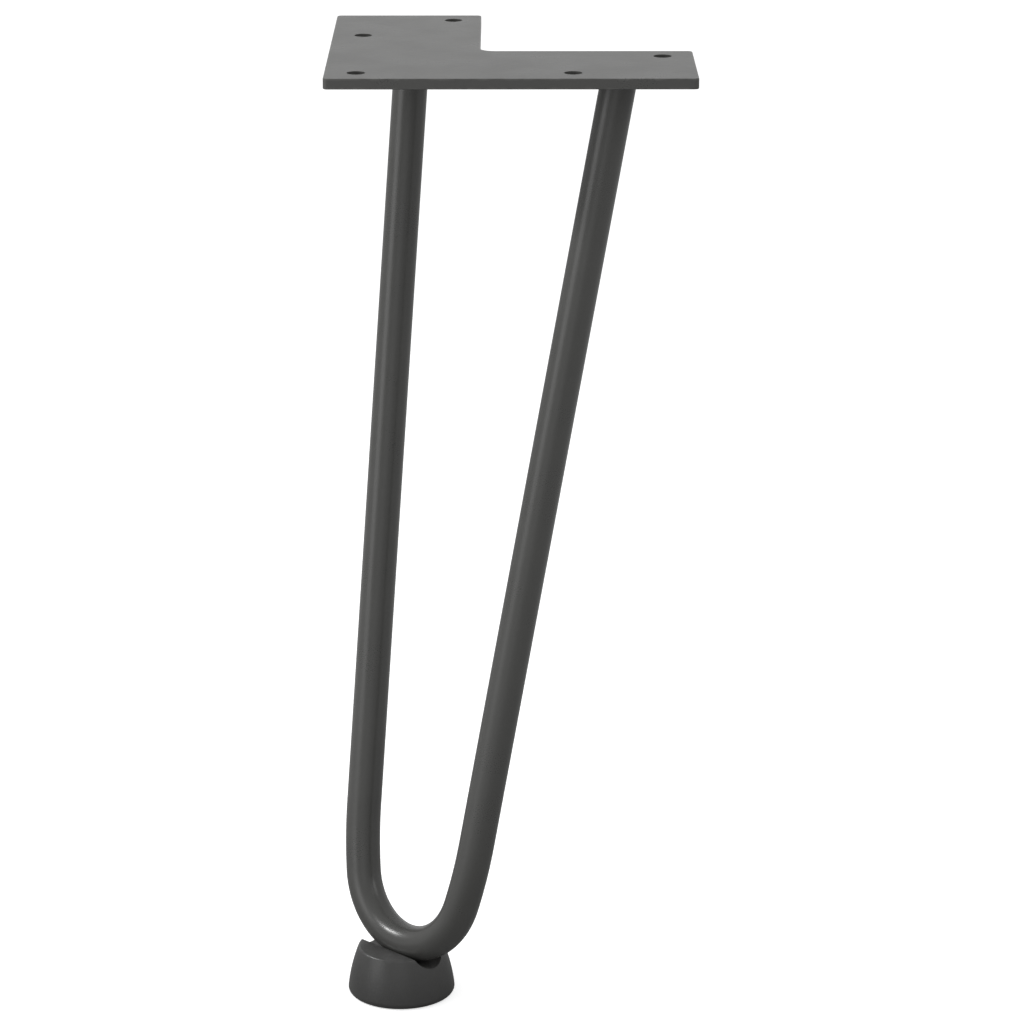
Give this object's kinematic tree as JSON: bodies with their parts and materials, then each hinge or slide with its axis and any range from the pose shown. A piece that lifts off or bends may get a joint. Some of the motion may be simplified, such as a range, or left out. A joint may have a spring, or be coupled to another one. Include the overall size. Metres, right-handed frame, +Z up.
{
  "type": "hairpin table leg",
  "caption": "Short hairpin leg: bent round bar welded under an L-shaped plate with screw holes, on a tapered round foot.",
  "frame": {"origin": "on the mounting plate's top face, in the middle of the corner square where its two arms meet", "axes": "+Z up out of the plate towards the table top, +X along the side arm, +Y along the rear arm"},
  "size_m": [0.12, 0.12, 0.325],
  "materials": {
    "coated_steel": "satin powder coat",
    "moulded_foot": "matt moulded",
    "plated_screw": "bright zinc plate"
  },
  "bodies": {
    "root": {"mounting_plate": "coated_steel", "hairpin_rod": "coated_steel", "weld_bead_rear": "coated_steel", "weld_bead_side": "coated_steel", "foot": "moulded_foot", "foot_screw": "plated_screw"}
  },
  "joints": []
}
